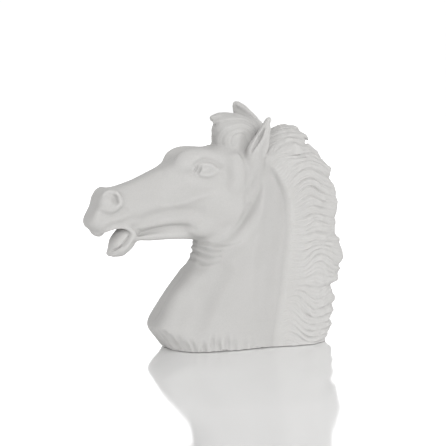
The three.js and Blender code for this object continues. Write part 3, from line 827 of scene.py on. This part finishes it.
def model_base(clay):
    """Gouges and chips left where the neck was trimmed, deepest at the chest."""
    rng = np.random.default_rng(11)
    turn = -np.pi
    while turn < 0.05:
        turn += rng.uniform(0.05, 0.15)
        mirrored = -np.pi - turn if turn < -np.pi / 2 else turn
        fade = 1 - soft_step(mirrored, -0.25, 0.16)
        top = rng.uniform(16, 38) * fade + 4
        radius, depth = rng.uniform(6, 13), rng.uniform(2.4, 5.5) * fade
        lean = rng.uniform(-0.03, 0.03)
        line = []
        for share in np.linspace(0, 1, 7):
            point, out = outline_point(-4 + (top + 4) * share, turn + lean * share)
            cut = depth * (0.4 + 0.6 * np.sin(np.pi * share)) * (1 - share**3)
            line.append(point + out * (radius - cut))
        clay.sweep(np.array(line), out, radius, radius, 3, carve=True)
    for _ in range(44):
        point, out = outline_point(rng.uniform(-1, 3), rng.uniform(-3.2, 0.05))
        radii = (rng.uniform(4, 8), rng.uniform(4, 8), rng.uniform(2, 5))
        clay.ellipsoid(point + out * rng.uniform(0, 4), radii, rng.uniform(-0.4, 0.4), 1.5, carve=True)


def open_underside(clay):
    """Cuts the flat lower edge, and the recess that the board and the pad sit in."""
    spans, x, y, z = clay.window((-112, -215, -12), (112, 245, 70))
    clay.carve(spans, z - EDGE_HEIGHT, 1.5)
    recess = level_distance(NECK, x, y, np.minimum(z, 2), -WALL)
    clay.carve(spans, np.maximum(recess, z - RECESS_TOP))


# ---------------- skin

CLAY_LOW, CLAY_HIGH = (-112, -334, -9), (112, 246, 484)  # the field's corners, just past the sculpture
BAND = 3.0  # how many voxels of the field are kept on each side of the surface


def sculpt():
    clay = Clay(CLAY_LOW, CLAY_HIGH)
    add_masses(clay)
    model_face(clay)
    model_eye(clay)
    model_nose(clay)
    model_neck(clay)
    model_throat(clay)
    model_mouth(clay)
    add_jaw(clay)
    add_tongue(clay)
    add_mane(clay)
    add_forelock(clay)
    add_ears(clay)
    model_base(clay)
    open_underside(clay)
    return clay


def sample(clay, grid, points):
    """Values of a grid at points in design millimetres, between its nodes."""
    at = (points - clay.low) / VOXEL
    base = np.clip(np.floor(at).astype(int), 0, np.array(grid.shape) - 2)
    f = (at - base).astype(np.float32)
    total = np.zeros(len(points), np.float32)
    for corner in range(8):
        step = np.array([corner >> 2 & 1, corner >> 1 & 1, corner & 1])
        share = np.prod(np.where(step, f, 1 - f), axis=1)
        i = base + step
        total += share * grid[i[:, 0], i[:, 1], i[:, 2]]
    return total


def skin(clay):
    """The surface of the field as points and four-sided faces."""
    grid = openvdb.FloatGrid(BAND)
    grid.copyFromArray(np.clip(clay.field / VOXEL, -BAND, BAND).astype(np.float32), tolerance=1e-4)
    points, quads = grid.convertToQuads(isovalue=0.0)
    points = points * VOXEL + clay.low
    used = np.linalg.norm(points[quads[:, 0]] - points[quads[:, 2]], axis=1) > 1e-3
    return points.astype(np.float32), quads[used].astype(np.int64)


def vertex_normals(clay, points):
    """Directions of steepest rise of the field, which are square to the surface."""
    step = 0.75 * VOXEL
    columns = []
    for axis in range(3):
        offset = np.zeros(3, np.float32)
        offset[axis] = step
        ahead, behind = (sample(clay, clay.field, points + move) for move in (offset, -offset))
        columns.append(ahead - behind)
    normals = np.column_stack(columns)
    return normals / np.maximum(np.linalg.norm(normals, axis=1), 1e-6)[:, None]


def crease_shade_and_crest_light(clay, points):
    """About -1 in hollows and 1 on crests, from what smoothing the field does at the surface: the cast's
    colour uses it as painted shade in the hollows and painted light on the crests.
    """
    smooth = np.clip(clay.field, -12, 12)
    soften(smooth, 5)
    return np.clip(sample(clay, smooth, points) / 1.2, -1, 1)


def mane_light_and_neck_shade(points):
    """Painted light and shade over the cast: 1 over the mane, painted lighter, -1 on the neck, painted
    darker, 0 on the face.
    """
    y, z = points[:, 1], points[:, 2]
    mane = soft_step(y - read_line(MANE_EDGE, z), -6, 3)
    neck = np.maximum(soft_step(214 - z, 0, 22), soft_step(y, -22, 12)) * soft_step(385 - z, 0, 30)
    return mane - neck * (1 - mane)


# The mane's castings from the ground up, and the sloping cuts between them, as in the CAD model
MANE_SECTIONS = np.array([f"mane_{place}_section" for place in ("lower", "middle", "upper", "poll")])
MANE_CUTS = np.array([124, 240, 361])
MANE_CUT_SLOPE = np.radians(14)
MANE_CUT_PIVOT_Y = 130


def mane_section(points):
    """Which of the mane's four castings each point is in."""
    y, z = points[:, 1] - MANE_CUT_PIVOT_Y, points[:, 2]
    height = z * np.cos(MANE_CUT_SLOPE) + y * np.sin(MANE_CUT_SLOPE)
    return MANE_SECTIONS[np.searchsorted(MANE_CUTS, height)]


def piece_names(clay, centres):
    """The CAD node that each face stands for, by the centres of the faces."""
    index = np.round((centres - clay.low) / VOXEL).astype(int)
    index = np.clip(index, 0, np.array(clay.owner.shape) - 1)
    owner = clay.owner[tuple(index.T)]
    names = np.where(centres[:, 0] > 0, "shell_left", "shell_right").astype("U24")
    fixed = {JAW: "lower_jaw", TONGUE: "tongue", EAR_LEFT: "ear_left", EAR_RIGHT: "ear_right",
             FORELOCK: "forelock"}
    for part, name in fixed.items():
        names[owner == part] = name
    mane = owner == MANE
    names[mane] = mane_section(centres[mane])
    return names


def link(thing):
    bpy.context.scene.collection.objects.link(thing)


def add_piece(name, points, quads, normals, shades, material):
    used, inverse = np.unique(quads, return_inverse=True)
    quads = inverse.reshape(quads.shape)
    mesh = bpy.data.meshes.new(name)
    mesh.vertices.add(len(used))
    mesh.vertices.foreach_set("co", (points[used] * MM).ravel())
    mesh.loops.add(quads.size)
    mesh.loops.foreach_set("vertex_index", quads.ravel().astype(np.int32))
    mesh.polygons.add(len(quads))
    mesh.polygons.foreach_set("loop_start", np.arange(0, quads.size, 4, dtype=np.int32))
    mesh.polygons.foreach_set("use_smooth", np.ones(len(quads), bool))
    mesh.update(calc_edges=True)
    for key, shade in shades.items():
        attribute = mesh.attributes.new(key, "FLOAT", "POINT")
        attribute.data.foreach_set("value", shade[used].astype(np.float32))
    mesh.normals_split_custom_set_from_vertices(normals[used])
    mesh.materials.append(material)
    piece = bpy.data.objects.new(name, mesh)
    link(piece)
    return piece


def add_cast(material):
    clay = sculpt()
    points, quads = skin(clay)
    normals = vertex_normals(clay, points)
    # painted light on the mane and painted shade on the neck, as the light falls on them
    # painted shade and light: the hollows darkened and the crests lightened in the cast's colour
    shades = {"crease_shade_and_crest_light": crease_shade_and_crest_light(clay, points), "mane_light_and_neck_shade": mane_light_and_neck_shade(points)}
    names = piece_names(clay, points[quads].mean(1))
    for node in sorted(set(names)):
        piece = add_piece(node + "_carved", points, quads[names == node], normals, shades, material)
        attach(piece, "root")
        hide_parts(node)


# ---------------- materials

def new_material(name):
    material = bpy.data.materials.new(name)
    material.use_nodes = True
    tree = material.node_tree
    return material, tree, tree.nodes["Principled BSDF"]


def new_node(tree, kind, **inputs):
    """A node with the named inputs set; a name's underscores stand for spaces."""
    node = tree.nodes.new("ShaderNode" + kind)
    for name, value in inputs.items():
        socket = node.inputs[name.replace("_", " ")]
        if isinstance(value, bpy.types.NodeSocket):
            tree.links.new(value, socket)
        else:
            socket.default_value = value
    return node


def object_noise(tree, scale, detail=4.0, roughness=0.55, stretch=(1, 1, 1)):
    place = new_node(tree, "TexCoord").outputs["Object"]
    place = new_node(tree, "Mapping", Vector=place, Scale=stretch).outputs["Vector"]
    noise = new_node(tree, "TexNoise", Vector=place, Scale=scale, Detail=detail, Roughness=roughness)
    return noise.outputs["Fac"]


def two_tones(tree, value, low, high):
    """Goes from the low color to the high one as the value goes from 0.3 to 0.7."""
    node = new_node(tree, "ValToRGB", Fac=value)
    for element, place, color in zip(node.color_ramp.elements, (0.3, 0.7), (low, high)):
        element.position = place
        element.color = (*color, 1)
    return node.outputs["Color"]


def remap(tree, value, low, high, from_low=0.0, from_high=1.0):
    node = new_node(tree, "MapRange", Value=value, From_Min=from_low, From_Max=from_high,
                    To_Min=low, To_Max=high)
    return node.outputs["Result"]


def dimmed(tree, color, factor):
    """The color multiplied by a factor."""
    node = tree.nodes.new("ShaderNodeMix")
    node.data_type, node.blend_type = "RGBA", "MULTIPLY"
    node.inputs["Factor"].default_value = 1.0
    a, b = (socket for socket in node.inputs if socket.type == "RGBA")
    tree.links.new(color, a)
    tree.links.new(factor, b)
    return next(socket for socket in node.outputs if socket.type == "RGBA")


def bump(tree, shader, heights):
    """Chains bumps, each a height and its depth in metres, into the shader's normal."""
    normal = {}
    for height, depth in heights:
        node = new_node(tree, "Bump", Height=height, Strength=1.0, Distance=depth, **normal)
        normal = {"Normal": node.outputs["Normal"]}
    tree.links.new(normal["Normal"], shader.inputs["Normal"])


def cast_marble():
    material, tree, shader = new_material("cast_marble")
    cloud, grain, sugar = (object_noise(tree, *sizes) for sizes in ((9, 3), (420, 2), (1500, 1)))
    color = two_tones(tree, cloud, (0.418, 0.412, 0.402), (0.446, 0.440, 0.431))
    # painted shade in the hollows and painted light on the crests, multiplied into the cast's colour
    # the mane painted lighter and the neck painted darker, as if lit and shaded
    for key, low, high in (("crease_shade_and_crest_light", 0.86, 1.05), ("mane_light_and_neck_shade", 0.95, 1.04)):
        shade = tree.nodes.new("ShaderNodeAttribute")
        shade.attribute_name = key
        color = dimmed(tree, color, remap(tree, shade.outputs["Fac"], low, high, -1, 1))
    color = dimmed(tree, color, remap(tree, grain, 0.965, 1.03, 0.3, 0.7))
    tree.links.new(color, shader.inputs["Base Color"])
    tree.links.new(remap(tree, grain, 0.62, 0.78), shader.inputs["Roughness"])
    shader.inputs["Specular IOR Level"].default_value = 0.3
    bump(tree, shader, [(cloud, 0.0006), (grain, 0.00012), (sugar, 0.00004)])
    return material


def simple_material(name, low, high, scale, stretch, roughness, metallic=0.0, depth=0.0002):
    material, tree, shader = new_material(name)
    noise, fine = (object_noise(tree, *sizes, 0.6, stretch) for sizes in ((scale, 5), (scale * 7, 3)))
    tree.links.new(two_tones(tree, noise, low, high), shader.inputs["Base Color"])
    tree.links.new(remap(tree, fine, *roughness), shader.inputs["Roughness"])
    shader.inputs["Metallic"].default_value = metallic
    bump(tree, shader, [(noise, depth), (fine, depth / 3)])
    return material


EVEN = (1, 1, 1)
# What a CAD node that keeps its own mesh is made of, by a word in its name: the material, its dark and
# its light color, the noise's scale and stretch, the roughness, and for metals two more settings
CAD_MATERIALS = {
    "dowel": ("drawn_steel", (0.45, 0.46, 0.47), (0.62, 0.63, 0.64), 60, (1, 1, 6), (0.28, 0.45), 1.0, 3e-5),
    "base_screw": ("zinc_plate", (0.5, 0.5, 0.47), (0.66, 0.66, 0.62), 90, EVEN, (0.3, 0.5), 1.0, 3e-5),
    "seam_strip": ("glass_laminate", (0.62, 0.58, 0.42), (0.78, 0.74, 0.6), 40, EVEN, (0.35, 0.6)),
    "screw_block": ("sawn_pine", (0.52, 0.36, 0.19), (0.74, 0.56, 0.34), 14, (7, 1, 7), (0.6, 0.8)),
    "base_board": ("plywood", (0.42, 0.29, 0.16), (0.66, 0.49, 0.3), 16, (8, 1, 8), (0.5, 0.75)),
    "base_pad": ("rubber_pad", (0.02, 0.02, 0.02), (0.045, 0.045, 0.045), 80, EVEN, (0.7, 0.9)),
}


def dress_cad_nodes():
    for word, settings in CAD_MATERIALS.items():
        material = simple_material(*settings)
        for name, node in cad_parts.items():
            if word in name:
                node.data.materials.clear()
                node.data.materials.append(material)


# ---------------- setting

FLOOR_SIZE = 18.0
SHEEN_FADE = (0.48, 0.3, 0.1, 0.45)  # metallic near the foot and far out, and the two distances, m


def add_floor():
    mesh = bpy.data.meshes.new("floor")
    a = FLOOR_SIZE / 2
    mesh.from_pydata([(-a, -a, 0), (a, -a, 0), (a, a, 0), (-a, a, 0)], [], [range(4)])
    material, tree, shader = new_material("floor")
    haze = object_noise(tree, 3, 2)
    tree.links.new(two_tones(tree, haze, (0.9, 0.9, 0.9), (0.92, 0.92, 0.92)), shader.inputs["Base Color"])
    tree.links.new(remap(tree, haze, 0.09, 0.11), shader.inputs["Roughness"])
    # the sheen fades with distance from the foot of the sculpture
    spread = tree.nodes.new("ShaderNodeVectorMath")
    spread.operation = "LENGTH"
    tree.links.new(new_node(tree, "TexCoord").outputs["Object"], spread.inputs[0])
    tree.links.new(remap(tree, spread.outputs["Value"], *SHEEN_FADE), shader.inputs["Metallic"])
    shader.inputs["IOR"].default_value = 2.2
    mesh.materials.append(material)
    floor = bpy.data.objects.new("floor", mesh)
    floor.location.z = CAD_LOW.z - 0.0002
    link(floor)


def add_light(name, toward, spread, strength):
    """A broad soft light, even over the whole floor, that comes from the given direction."""
    light = bpy.data.lights.new(name, "SUN")
    light.angle = np.radians(spread)
    light.energy = strength
    lamp = bpy.data.objects.new(name, light)
    lamp.location = toward
    lamp.rotation_euler = (-Vector(toward)).to_track_quat("-Z", "Y").to_euler()
    link(lamp)


def add_world(ambient):
    """White to look at and brighter in reflections, and dimmer as the light that falls on the object."""
    world = bpy.data.worlds.new("studio")
    world.use_nodes = True
    tree = world.node_tree
    path = tree.nodes.new("ShaderNodeLightPath")
    glow = tree.nodes.new("ShaderNodeMath")
    glow.operation = "MULTIPLY_ADD"
    glow.inputs[1].default_value = 0.5
    tree.links.new(path.outputs["Is Glossy Ray"], glow.inputs[0])
    tree.links.new(remap(tree, path.outputs["Is Diffuse Ray"], 1.02, ambient), glow.inputs[2])
    background = tree.nodes["Background"]
    background.inputs["Color"].default_value = (1, 1, 1, 1)
    tree.links.new(glow.outputs["Value"], background.inputs["Strength"])
    bpy.context.scene.world = world


CAMERA_AZIMUTH, CAMERA_ELEVATION = np.radians(67), np.radians(8)
CAMERA_DISTANCE = 2.080
CAMERA_TARGET = Vector((0, -35, 240.2)) * MM


def add_camera():
    level = np.cos(CAMERA_ELEVATION)
    back = Vector((np.sin(CAMERA_AZIMUTH) * level, -np.cos(CAMERA_AZIMUTH) * level,
                   np.sin(CAMERA_ELEVATION)))
    camera = bpy.data.cameras.new("camera")
    camera.lens = 85
    camera.sensor_width = 36
    eye = bpy.data.objects.new("camera", camera)
    eye.location = CAMERA_TARGET + back * CAMERA_DISTANCE
    eye.rotation_euler = (-back).to_track_quat("-Z", "Y").to_euler()
    link(eye)
    bpy.context.scene.camera = eye


add_cast(cast_marble())
dress_cad_nodes()
add_floor()
add_camera()
add_world(0.56)
add_light("key", (2.4, 0.7, 1.13), 55, 1.95)
add_light("fill", (0.8, -2.2, 0.1), 90, 1.35)
add_light("back", (-2.0, 1.2, 0.2), 90, 0.7)
bpy.context.scene.view_settings.view_transform = "Standard"
